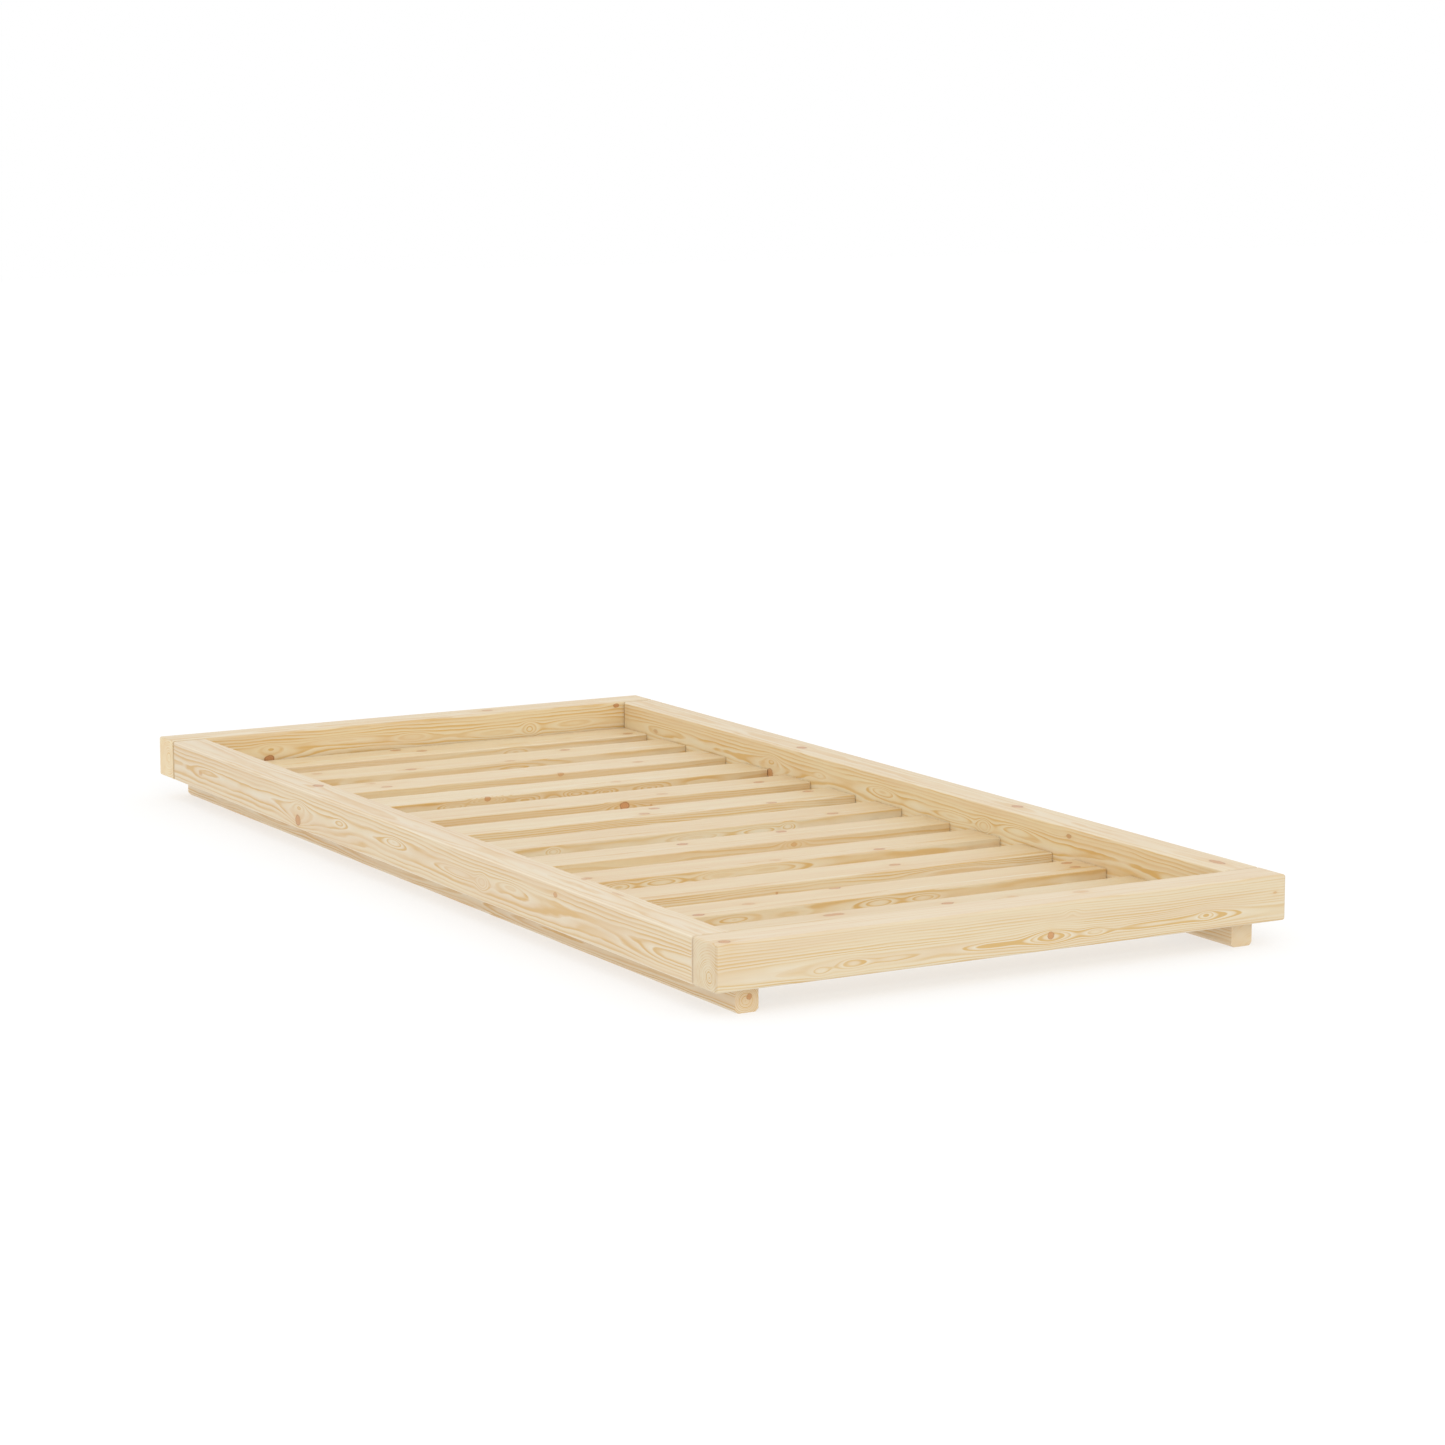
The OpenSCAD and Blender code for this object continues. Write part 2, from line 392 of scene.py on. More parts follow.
def pine(node, grain, flips, wood):
    """The material of one board. Its figure runs through the solid, so its faces match at the edges."""
    g = Graph(node)
    point = board_point(g, node, grain, flips)
    tone = stretched_noise(g, point, wood, TONES, 2.0)
    fibre = stretched_noise(g, point, wood, FIBRES, 3.0)
    age, nearest, core = bend_round_figures(g, point, wood, heart_distance(g, point, wood))
    early, late = growth_rings(g, point, wood, age)

    colour = plain_wood(g, point, wood, tone, fibre, early, late)
    colour = resin_specks(g, point, wood, colour)
    colour = knots(g, nearest, core, colour)
    # Painted light and shade on the rails: a highlight on a side rail's rounded edges, shade at an end
    # rail's upright corners and in the seams
    if "rail" in node:
        colour = painted_edge_highlight(g, colour) if "side" in node else painted_corner_shade(g, colour)
        colour = painted_seam_shade(g, point, node, colour)

    height = g.math("MULTIPLY_ADD", late, 0.5, g.math("MULTIPLY", fibre, 0.35))
    height = g.math("MULTIPLY_ADD", core, 0.8, height)
    roughness = g.math("MULTIPLY_ADD", fibre, 0.16, g.math("MULTIPLY_ADD", tone, 0.12, 0.24))
    roughness = g.math("MULTIPLY_ADD", late, -0.06, roughness)
    return g.shader(colour, roughness, height, WOOD_BUMP, IOR=1.48)


# ---- Other materials ----

DULL_ZINC = (0.50, 0.51, 0.53)
CLEAN_ZINC = (0.68, 0.69, 0.70)
DARK_BEECH = (0.62, 0.42, 0.26)
LIGHT_BEECH = (0.72, 0.53, 0.36)
BEECH_FLECK = (0.42, 0.24, 0.13)
THREAD_SHADE = (0.66, 0.63, 0.56)
THREAD = (0.84, 0.82, 0.76)
FLUFF = (0.60, 0.56, 0.48)
WEAVE_PITCH = 1.5 * MM

# The points in these materials are in metres, so what scales them is in features per metre.


def zinc_steel():
    g = Graph("zinc_steel")
    point = g.node("TexCoord", {}, "Object")
    cloud = g.noise(g.vector("MULTIPLY", point, 180.0), 3.0)
    grit = g.noise(g.vector("MULTIPLY", point, 2600.0), 2.0)
    colour = g.mix(g.span(cloud, 0.35, 0.65), DULL_ZINC, CLEAN_ZINC)
    roughness = g.math("MULTIPLY_ADD", cloud, 0.20, 0.22)
    return g.shader(colour, roughness, grit, 0.02 * MM, Metallic=1.0)


def beech():
    g = Graph("beech")
    point = g.node("TexCoord", {}, "Object")
    band = g.noise(g.vector("MULTIPLY", point, (900.0, 60.0, 900.0)), 3.0)
    fleck = g.node("TexVoronoi", {"Vector": g.vector("MULTIPLY", point, (1400.0, 300.0, 1400.0))})
    colour = g.mix(g.span(band, 0.3, 0.7), DARK_BEECH, LIGHT_BEECH)
    colour = g.mix(g.span(fleck, 0.20, 0.05, 0.0, 0.5), colour, BEECH_FLECK)
    roughness = g.math("MULTIPLY_ADD", band, 0.2, 0.5)
    return g.shader(colour, roughness, fleck, 0.03 * MM, IOR=1.45)


def webbing():
    g = Graph("webbing")
    point = g.node("TexCoord", {}, "Object")
    across, along, _ = g.parts(g.vector("MULTIPLY", point, TURN / WEAVE_PITCH))
    weave = g.math("MULTIPLY", g.math("SINE", across), g.math("SINE", along))
    weave = g.math("MULTIPLY_ADD", weave, 0.5, 0.5)
    fluff = g.noise(g.vector("MULTIPLY", point, 1500.0), 3.0)
    colour = g.mix(weave, THREAD_SHADE, THREAD)
    colour = g.mix(g.span(fluff, 0.55, 0.75, 0.0, 0.3), colour, FLUFF)
    height = g.math("MULTIPLY_ADD", fluff, 0.3, weave)
    roughness = g.math("MULTIPLY_ADD", fluff, 0.15, 0.78)
    return g.shader(colour, roughness, height, 0.2 * MM, Sheen_Weight=0.2)


def floor_paint():
    g = Graph("floor_paint")
    point = g.node("TexCoord", {}, "Object")
    grain = g.noise(g.vector("MULTIPLY", point, 40.0), 3.0)
    roughness = g.math("MULTIPLY_ADD", grain, 0.1, 0.7)
    return g.shader(FLOOR_TONE, roughness, grain, 0.0, Emission_Color=WHITE,
                    Emission_Strength=FLOOR_GLOW, Specular_IOR_Level=0.0)


# ---- Shapes ----

# How many sides a hole has, the angle from which an edge stays sharp, and how close verts are one
ROUND = 32
SHARP_ANGLE = math.radians(35)
WELD = 0.001 * MM


def new_object(name, bm, material):
    mesh = bpy.data.meshes.new(name)
    bmesh.ops.recalc_face_normals(bm, faces=bm.faces[:])
    bm.to_mesh(mesh)
    bm.free()
    mesh.materials.append(material)
    made = bpy.data.objects.new(name, mesh)
    bpy.context.scene.collection.objects.link(made)
    return made


def soften(piece):
    """Smooth shading on rounded edges, flat on flat faces."""
    piece.data.shade_smooth()
    piece.data.set_sharp_from_angle(angle=SHARP_ANGLE)
    weighted = piece.modifiers.new("even_normals", "WEIGHTED_NORMAL")
    weighted.keep_sharp = True
    return piece


def join_frame(piece, body, node):
    """Makes a piece ride on its body and stand for its CAD node."""
    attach(piece, body)
    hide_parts(node)
    return piece


def cut(piece, cutter):
    """Cuts the bmesh cutter out of a piece."""
    tool = new_object("cutter", cutter, piece.data.materials[0])
    boolean = piece.modifiers.new("cut", "BOOLEAN")
    boolean.operation = "DIFFERENCE"
    boolean.solver = "EXACT"
    boolean.object = tool
    graph = bpy.context.evaluated_depsgraph_get()
    mesh = bpy.data.meshes.new_from_object(piece.evaluated_get(graph))
    piece.modifiers.remove(boolean)
    piece.data = mesh
    bpy.data.objects.remove(tool)


def solids(node):
    """The box of each separate solid in a CAD node, as (low, high) corners, in a fixed order."""
    bm = bmesh.new()
    bm.from_mesh(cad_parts[node].data)
    bmesh.ops.remove_doubles(bm, verts=bm.verts[:], dist=WELD)
    boxes = []
    left = set(bm.verts)
    while left:
        found = [left.pop()]
        for vert in found:
            for edge in vert.link_edges:
                other = edge.other_vert(vert)
                if other in left:
                    left.remove(other)
                    found.append(other)
        low = Vector([min(v.co[i] for v in found) for i in range(3)])
        high = Vector([max(v.co[i] for v in found) for i in range(3)])
        boxes.append((low, high))
    bm.free()
    return sorted(boxes, key=lambda b: [round(c, 3) for c in (b[0] + b[1])])


def half_width(low, high):
    """Half the width of a box along X, in mm."""
    return (high.x - low.x) / 2 / MM


def foot(low, high):
    """The middle of a box's underside."""
    return Vector(((low.x + high.x) / 2, (low.y + high.y) / 2, low.z))


def outward_end(low, high):
    """1 or -1, the way along Y that leads out of the bed, and how far out the box reaches that way."""
    return (1, high.y) if low.y > 0 else (-1, low.y)


def skin(bm, rows, loop=False):
    """Puts faces on rows of verts that each go once round. The ends are closed, or with loop the last
    row joins the first, round a bore."""
    pairs = list(zip(rows, rows[1:]))
    if loop:
        pairs.append((rows[-1], rows[0]))
    else:
        bm.faces.new(rows[0])
        bm.faces.new(rows[-1])
    for lower, upper in pairs:
        for i in range(len(lower)):
            j = (i + 1) % len(lower)
            bm.faces.new((lower[i], lower[j], upper[j], upper[i]))


def spin(bm, rings, sides, place, loop=False):
    """A round body. Each ring is (height, radius) in mm, the radius a number or a function of the angle."""
    rows = []
    for height, radius in rings:
        row = []
        for i in range(sides):
            angle = TURN * i / sides
            r = radius(angle) if callable(radius) else radius
            row.append(bm.verts.new(place @ Vector((r * math.cos(angle), r * math.sin(angle), height))))
        rows.append(row)
    skin(bm, rows, loop)


def both_halves(points):
    """A closed outline from its first half: the second is the same, turned half round."""
    return points + [(-a, -b) for a, b in points]


def upright(point):
    """Places a body drawn in mm, its axis along +Z, at a point."""
    return Matrix.Translation(point) @ Matrix.Scale(MM, 4)


def lying(point, direction=1):
    """Places a body drawn in mm with its axis along +Y or -Y."""
    turn = Matrix.Rotation(-direction * math.pi / 2, 4, "X")
    return Matrix.Translation(point) @ turn @ Matrix.Scale(MM, 4)


def hexagon_radius(flats):
    """The radius of a hexagon, this wide across its flats, as a function of the angle."""
    step = TURN / 6
    return lambda angle: flats / 2 / math.cos((angle % step) - step / 2)


def thread_rings(start, end, core, crest, pitch, samples):
    """Rings of a screw thread between two heights, this many for each turn."""
    rings = []
    count = round((end - start) / pitch * samples)
    for i in range(count + 1):
        height = start + (end - start) * i / count

        def radius(angle, height=height):
            part = (height / pitch - angle / TURN) % 1
            return core + (crest - core) * (1 - abs(2 * part - 1))

        rings.append((height, radius))
    return rings


# ---- Boards ----

# How far edges are rounded or bevelled
RAIL_R = 4.5 * MM
RUNNER_CHAMFER = 5 * MM
RUNNER_EASE = 1 * MM
CHAMFER_EASE = 0.6 * MM
SAWN_EASE = 0.5 * MM
SLAT_R = 2 * MM
SLAT_END_EASE = 0.25 * MM

# How much shorter a side rail is at each end, so that its seam shows as a fine line
JOINT_GAP = 0.4 * MM

# How far from a board's end face a vert still counts as on it
END_REACH = 0.01 * MM

# Holes, in mm: the clearance round a fitting, how far a cutter runs past it, and the nuts' pockets
FIT = 0.05
HOLE_EXTRA = 1.0
COUNTERBORE = 0.5
POCKET_R = 12.0
POCKET_RISE = 14
POCKET_MOUTH = [(-0.5, POCKET_R + 2), (1.0, POCKET_R + 0.5), (1.5, POCKET_R)]
WASHER_R = POCKET_R - 0.1

# Bolts and screws, in mm
STUD_R = 4
STUD_BORE = STUD_R + FIT
SCREW_R = 2.5
SCREW_HEAD = 3


def box_mesh(node):
    low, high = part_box(node)
    middle = Matrix.Translation((low + high) / 2)
    size = Matrix.Diagonal((*(high - low), 1))
    bm = bmesh.new()
    bmesh.ops.create_cube(bm, size=1)
    bmesh.ops.transform(bm, verts=bm.verts, matrix=middle @ size)
    return bm


def bevel(bm, edges, offset, segments):
    bmesh.ops.bevel(bm, geom=edges, offset=offset, offset_type="OFFSET", segments=segments,
                    profile=0.5, affect="EDGES")


def edges_along(bm, axis):
    found = []
    for edge in bm.edges:
        span = edge.verts[0].co - edge.verts[1].co
        if abs(span[axis]) > 0.5 * span.length:
            found.append(edge)
    return found


def end_edges(bm, axis):
    """The edges round the two end faces of a board."""
    low = min(v.co[axis] for v in bm.verts) + END_REACH
    high = max(v.co[axis] for v in bm.verts) - END_REACH
    found = []
    for edge in bm.edges:
        places = [v.co[axis] for v in edge.verts]
        if max(places) < low or min(places) > high:
            found.append(edge)
    return found


def rail_mesh(node):
    bm = box_mesh(node)
    if "side" in node:
        half_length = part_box(node)[1].y
        bmesh.ops.scale(bm, vec=(1, 1 - JOINT_GAP / half_length, 1), verts=bm.verts)
    bevel(bm, bm.edges[:], RAIL_R, 6)
    return bm


def slat_mesh(node):
    bm = box_mesh(node)
    bevel(bm, edges_along(bm, X), SLAT_R, 4)
    bevel(bm, end_edges(bm, X), SLAT_END_EASE, 2)
    return bm


def runner_mesh(node):
    """A square beam with chamfers along its foot. Every edge left is eased."""
    low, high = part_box(node)
    middle = (low.z + high.z) / 2
    bm = box_mesh(node)
    bevel(bm, [e for e in edges_along(bm, Y) if e.verts[0].co.z < middle], RUNNER_CHAMFER, 1)
    bevel(bm, [e for e in edges_along(bm, Y) if e.verts[0].co.z > middle], RUNNER_EASE, 2)
    bevel(bm, [e for e in edges_along(bm, Y) if e.verts[0].co.z < middle], CHAMFER_EASE, 2)
    bevel(bm, end_edges(bm, Y), SAWN_EASE, 2)
    return bm


def add_fitting_holes(bm):
    """Room for the dowels and studs in the rails."""
    for node in ("corner_dowels", "corner_studs"):
        for low, high in solids(node):
            half = (high.y - low.y) / 2 / MM + HOLE_EXTRA
            radius = half_width(low, high) + FIT
            spin(bm, [(-half, radius), (half, radius)], ROUND, lying((low + high) / 2))


def add_nut_pockets(bm):
    """The pockets bored up into the side rails for the nuts. Each washer bears on a pocket's wall."""
    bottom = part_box("left_side_rail")[0].z - MM
    for low, high in solids("crescent_washers"):
        outward, outer = outward_end(low, high)
        stud_z = (low.z + high.z) / 2
        depth = (stud_z - bottom) / MM + POCKET_RISE
        rings = POCKET_MOUTH + [(depth, POCKET_R)]
        place = Vector(((low.x + high.x) / 2, outer - outward * WASHER_R * MM, bottom))
        spin(bm, rings, 2 * ROUND, upright(place))


def add_screw_holes(bm):
    """Counterbored holes for the runner screws, from under the runners up."""
    bore = SCREW_R + FIT
    for low, high in solids("runner_screws"):
        head = half_width(low, high)
        floor = -low.z / MM - HOLE_EXTRA
        tip = (high.z - low.z) / MM + HOLE_EXTRA
        rings = [(floor, head + COUNTERBORE), (0, head + COUNTERBORE), (0, head + FIT), (SCREW_HEAD, bore),
                 (tip, bore)]
        spin(bm, rings, ROUND, upright(foot(low, high)))


def cutters(makers):
    bm = bmesh.new()
    for make in makers:
        make(bm)
    bmesh.ops.recalc_face_normals(bm, faces=bm.faces[:])
    return bm


# ---- The wood of each board ----

def face_depth(node, axis):
    """How far apart a board's two faces along this axis are, in whole mm."""
    low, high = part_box(node)
    return round((high - low)[axis] / MM)


# Where the faces with the most figure lie, in from the outer face
SIDE_INNER = face_depth("right_side_rail", X)
HEAD_INNER = face_depth("head_rail", Y)
SLAT_FRONT = face_depth("slat_01", Y)


def side_figures(face):
    """The figure of a side rail, on the face that lies this far in from its outer face."""
    return [
        Figure((133, face, 41), (9, 20, 4), -2.0, 0.35),
        Figure((180, face, 34), (70, 60, 8), -3.0),
        Figure((580, face, 58), (11, 60, 10), -6.0, 0.8),
        Figure((580, face, 52), (60, 60, 20), -7.0),
        Figure((587, face, 33), (22, 60, 8), -9.0),
        Figure((760, face, 34), (20, 40, 7), -4.0),
        Figure((830, face, 50), (80, 60, 10), 5.0),
        Figure((980, face, 31), (36, 60, 8), -9.0),
        Figure((1220, face, 40), (66, 60, 8), -8.0),
        Figure((1310, face, 41), (17, 60, 13), -12.0),
        Figure((1415, face, 31), (46, 60, 9), -7.0),
        Figure((1567, face, 16), (7, 14, 4), -3.0, 0.6),
        Figure((1535, face, 18), (44, 14, 4), 3.0),
        Figure((1700, face, 46), (120, 60, 9), 5.0),
        Figure((2050, face, 42), (240, 60, 17), -7.0),
    ]


FOOT_FIGURES = [
    Figure((560, 0, 56), (520, 60, 13), -5.0),
    Figure((90, 0, 52), (110, 40, 9), 4.0),
    Figure((395, 0, 58), (60, 40, 8), 4.0),
    Figure((178, 0, 60), (17, 40, 8), -6.0),
    Figure((234, 0, 53), (26, 40, 10), -8.0),
    Figure((310, 0, 54), (60, 40, 7), -4.0),
    Figure((475, 0, 54), (48, 30, 7), -5.0),
    Figure((590, 0, 50), (6, 30, 6), -4.0, 0.8),
    Figure((590, 0, 50), (44, 40, 13), -13.0),
    Figure((629, 0, 18), (13, 12, 8), -6.0),
    Figure((673, 0, 53), (24, 40, 9), -9.0),
    Figure((775, 0, 52), (70, 40, 8), -7.0),
    Figure((884, 0, 48), (14, 40, 8), -6.0),
    Figure((884, 0, 48), (62, 40, 14), -9.0),
    Figure((1018, 0, 27), (3.5, 6, 2), -1.0, 0.3),
    Figure((22, 13, 0), (10, 9, 12), -3.0, 0.8),
    Figure((680, 50, 0), (14, 9, 8), -2.0, 0.25),
]

LEFT_FIGURES = side_figures(0) + [
    Figure((575, 42, 0), (12, 9, 12), -3.0, 0.9),
    Figure((1550, 60, 0), (7, 4, 10), -1.0, 0.6),
    Figure((1680, 50, 0), (20, 3, 8), -1.0, 0.4),
]

RIGHT_FIGURES = side_figures(SIDE_INNER) + [
    Figure((655, 42, 0), (12, 9, 9), -3.0, 0.9),
    Figure((1365, 35, 0), (12, 9, 9), -3.0, 0.9),
    Figure((1935, 35, 0), (20, 8, 9), -3.0, 0.8),
]

HEAD_FIGURES = [
    Figure((201, HEAD_INNER, 31), (22, 60, 9), -8.0),
    Figure((197, HEAD_INNER, 52), (11, 60, 9), -7.0, 1.0),
    Figure((340, HEAD_INNER, 26), (80, 60, 7), -6.0),
    Figure((503, HEAD_INNER, 32), (30, 60, 8), -9.0),
    Figure((420, HEAD_INNER, 46), (120, 60, 8), 4.0),
    Figure((685, HEAD_INNER, 40), (52, 60, 8), -7.0),
    Figure((760, HEAD_INNER, 38), (14, 60, 13), -12.0),
    Figure((860, HEAD_INNER, 34), (46, 60, 9), -7.0),
    Figure((956, HEAD_INNER, 6), (7, 14, 4), -3.0, 0.9),
    Figure((685, 32, 0), (11, 9, 8), -2.0, 0.6),
]

LEFT_RUNNER_FIGURES = [
    Figure((177, 0, 8), (9, 12, 7), -3.0, 0.9),
    Figure((420, 0, 22), (90, 30, 7), -5.0),
    Figure((900, 0, 20), (120, 30, 8), -5.0),
    Figure((1500, 0, 24), (160, 30, 7), -5.0),
    Figure((2090, 24, 16), (26, 4.5, 4.5), -3.0, 0.8),
    Figure((2090, 22, 20), (40, 12, 14), -8.0),
]

# Tints of the boards, by which the wood's colour is multiplied. They are partly the boards' own tones and
# partly painted light and shade.
GOLDEN = (0.965, 0.975, 0.98)
PLAIN = (0.985, 1.0, 1.0)
WARM = (0.945, 0.935, 0.895)
FRESH = (0.965, 0.98, 1.02)
COOL = (0.955, 0.955, 0.975)
# Painted bounce light, lifting the inner faces of the head and right side rails
SIDE_BOUNCE_LIGHT = (1.07, 1.095, 1.07)

WOOD = {
    "foot_rail": timber(1, (18, 54), ring=4.0, fade=50, tint=FRESH, edge=(0.935, 0.97, 1.015),
                        figures=FOOT_FIGURES),
    "head_rail": timber(2, (46, 36), ring=4.5, ripple=5, fade=90, tint=PLAIN, edge=SIDE_BOUNCE_LIGHT,
                        figures=HEAD_FIGURES),
    "left_side_rail": timber(3, (26, 40), lean=2, ring=4.6, ripple=5, fade=80, tint=FRESH,
                             figures=LEFT_FIGURES),
    "right_side_rail": timber(4, (41, 40), lean=2, ring=4.6, ripple=5, fade=65, tint=GOLDEN, edge=SIDE_BOUNCE_LIGHT,
                              figures=RIGHT_FIGURES),
    "left_runner": timber(5, (14, 22), fade=110, tint=COOL, figures=LEFT_RUNNER_FIGURES),
    "right_runner": timber(6, (-14, 70), lean=-5, ring=4.0, ripple=5, fade=120, tint=FRESH),
}

# Knots on the tops of the slats: how far along, in from the rear edge, and how dark
SLAT_KNOTS = {
    2: [(312, 22, 0.8), (327, 22, 0.8), (522, 38, 0.9), (640, 47, 0.2)],
    3: [(135, 76, 1.0), (429, 4, 0.9), (245, 43, 0.4), (874, 20, 1.0), (867, 55, 0.8)],
    4: [(617, 47, 0.8)],
    5: [(667, 77, 0.9), (465, 72, 0.3), (118, 50, 0.7)],
    6: [(399, 30, 1.0), (604, 15, 1.0)],
    7: [(772, 70, 0.9)],
    8: [(520, 27, 0.9), (480, 63, 0.8), (732, 82, 0.7), (850, 15, 0.9)],
    9: [(820, 45, 0.9), (604, 63, 0.4)],
    10: [(592, 65, 0.3)],
    11: [(199, 60, 0.7), (732, 53, 0.5), (187, 15, 0.3)],
    12: [(319, 70, 0.9), (674, 20, 0.9), (144, 25, 0.4), (524, 80, 0.4)],
    13: [(387, 17, 0.9), (427, 50, 0.8), (874, 68, 0.8)],
}

# Eyes and knots on the front edges of the slats: how far along, how far down, half length, swell, core
SLAT_FRONTS = {
    3: [(190, 11, 40, -6.0, 0), (300, 12, 50, 5.0, 0), (460, 11, 30, -6.0, 0), (545, 12, 30, -7.0, 0)],
    4: [(362, 14, 2.5, -1.0, 0.8), (450, 2, 200, -3.0, 0), (700, 8, 90, -5.0, 0)],
    5: [(155, 11, 22, -8.0, 0), (235, 11, 36, -6.0, 0), (345, 11, 34, -7.0, 0), (430, 9, 60, -6.0, 0)],
    6: [(584, 8, 5, -3.0, 0.4), (584, 6, 20, -9.0, 0), (300, 12, 80, 4.0, 0)],
    7: [(200, 10, 12, -7.0, 0), (480, 11, 46, -8.0, 0), (610, 12, 40, -6.0, 0), (667, 9, 12, -7.0, 0)],
    8: [(400, 12, 90, -4.0, 0)],
    9: [(510, 9, 10, -4.0, 1.0), (510, 9, 34, -9.0, 0), (565, 13, 2.5, -1.0, 0.7)],
    10: [(242, 12, 24, -9.0, 0), (312, 3, 6, -3.0, 0.8), (312, 5, 34, -16.0, 0), (390, 12, 26, -8.0, 0),
         (450, 14, 30, 6.0, 0), (492, 10, 24, -10.0, 0), (556, 12, 22, -10.0, 0), (650, 12, 30, -9.0, 0),
         (760, 12, 60, 6.0, 0)],
    11: [(545, 1, 6, -1.5, 0.6), (350, 12, 80, -4.0, 0)],
    12: [(530, 12, 80, -6.0, 0), (200, 10, 60, 4.0, 0)],
    13: [(260, 14, 90, -5.0, 0), (610, 10, 24, -5.0, 0)],
}

# Slats whose rings stay bold for less or more than the usual distance
SLAT_FADES = {9: 80, 10: 110, 12: 45, 13: 36}

# Slats cut with the heart of the tree near their front edge, which has a bold figure there
FRONT_HEART_SLATS = (3, 5, 7, 10, 12)
FRONT_HEART = (66, 12)

# Slats cut with the heart of the tree near their front edge, which has a bold figure there
FRONT_HEART_SLATS = (3, 5, 7, 10, 12)
FRONT_HEART = (66, 12)

# Slats that are paler or darker than the others: on their tops partly by their own tone and partly as
# painted light and shade, and on their edges as painted light and shade, mostly darker than their tops
SLAT_TINTS = {
    1: (0.90, 0.895, 0.875),
    2: (0.935, 0.945, 0.93),
    8: (0.965, 0.985, 0.98),
    9: (0.955, 0.95, 0.915),
    10: (0.99, 1.025, 1.04),
    11: (0.98, 0.98, 0.965),
    12: (0.99, 1.0, 0.985),
    13: (1.04, 1.085, 1.12),
}
SLAT_SIDE_SHADING = {
    1: (0.90, 0.895, 0.875),
    2: (0.90, 0.895, 0.865),
    6: (0.92, 0.88, 0.78),
    7: (0.945, 0.99, 1.02),
    9: (0.89, 0.815, 0.70),
    10: (0.895, 0.84, 0.735),
    11: (0.92, 0.88, 0.78),
    12: (0.93, 0.90, 0.84),
    13: (0.93, 0.91, 0.85),
}


def slat_wood(i):
    """The wood of the slat with this number, counted from the foot."""
    figures = []
    for along, inward, core in SLAT_KNOTS.get(i, []):
        figures.append(Figure((along, inward, 0), (11, 7, 9), -2.0, core))
    for along, down, half, swell, core in SLAT_FRONTS.get(i, []):
        size = (half, 8, 0.8 * half) if core else (half, 16, 7)
        figures.append(Figure((along, SLAT_FRONT, down), size, swell, core))
    elsewhere = (30 + (i * 37) % 50, 20 + (i * 13) % 24)
    heart = FRONT_HEART if i in FRONT_HEART_SLATS else elsewhere
    return timber(20 + i, heart, lean=(-1) ** i * 3, ring=3.6, fade=SLAT_FADES.get(i, 55),
                  tint=SLAT_TINTS.get(i, WARM), edge=SLAT_SIDE_SHADING.get(i, WARM), figures=figures)


def make_boards():
    rail_cuts = [add_fitting_holes, add_screw_holes]
    side_cuts = [add_fitting_holes, add_screw_holes, add_nut_pockets]
    plans = [
        ("foot_rail", rail_mesh, "X", (0, 0, 1), rail_cuts),
        ("head_rail", rail_mesh, "X", (0, 1, 1), rail_cuts),
        ("left_side_rail", rail_mesh, "Y", (0, 1, 1), side_cuts),
        ("right_side_rail", rail_mesh, "Y", (1, 1, 1), side_cuts),
        ("left_runner", runner_mesh, "Y", (0, 1, 1), [add_screw_holes]),
        ("right_runner", runner_mesh, "Y", (1, 1, 1), [add_screw_holes]),
    ]
    for node, shape, grain, flips, cuts in plans:
        board = new_object(node + "_board", shape(node), pine(node, grain, flips, WOOD[node]))
        cut(board, cutters(cuts))
        join_frame(soften(board), "frame", node)
    for i, node in enumerate(SLATS, 1):
        slat = new_object(node + "_board", slat_mesh(node), pine(node, "X", (0, 1, 1), slat_wood(i)))
        join_frame(soften(slat), "slat_base", node)


# ---- Fittings ----

# The sides of a threaded body, a nut and a washer's bore, and the rings for each turn of a thread
THREAD_SIDES = 24
NUT_SIDES = 72
BORE_SIDES = 48
FINE_STEPS = 5
COARSE_STEPS = 8

# Dowels, in mm
FLUTES = 14
FLUTE_DEPTH = 0.3
DOWEL_CHAMFER = 1

# Hanger bolts, in mm from the end that takes the nut
STUD_CHAMFER = 0.8
NUT_THREAD_START = 0.6
NUT_THREAD_END = 32
SHANK = (33, 46)
SHANK_INSET = 0.4
WOOD_THREAD_START = 47
POINT_LENGTH = 6
POINT_R = 0.6
NUT_PITCH = 1.25
NUT_THREAD_DEPTH = 0.7
WOOD_PITCH = 3.0
WOOD_THREAD_DEPTH = 1.3

# Screws, in mm from the underside of the head
SOCKET_FLATS = 3.5
SOCKET_DEPTH = 2.0
SOCKET_MOUTH_R = 2.3
SOCKET_MOUTH_DEPTH = 0.15
HEAD_RIM = 0.3
SCREW_SHANK_R = 1.9
SCREW_SHANK_END = 14
SCREW_POINT = 5
SCREW_PITCH = 2.6
SCREW_CORE = 1.7
SCREW_TIP_R = 0.15

# Nuts, in mm: how far a corner stands past the flats at the chamfer, and the chamfers' depths
NUT_CORNER = 0.25
NUT_CHAMFER = 0.9
NUT_RIM = 0.35
NUT_FACE = 0.4
BORE_CHAMFER = 0.5

# Washers: the steps of their arc, the edges to round, and half the length of their drill in mm
ARC_STEPS = 24
WASHER_EDGE = 0.5
WASHER_EASE = 0.4 * MM
WASHER_DRILL = 15

# Staples and tapes. A staple's bend is measured to the middle of its wire, and its points keep this
# share of the wire's width.
STAPLE_THICK = 0.6 * MM
STAPLE_BEND = 0.7 * MM
BEND_STEPS = 4
STAPLE_POINT = 0.25
TAPE_SAG = 1.0 * MM
TAPE_STEPS = 480


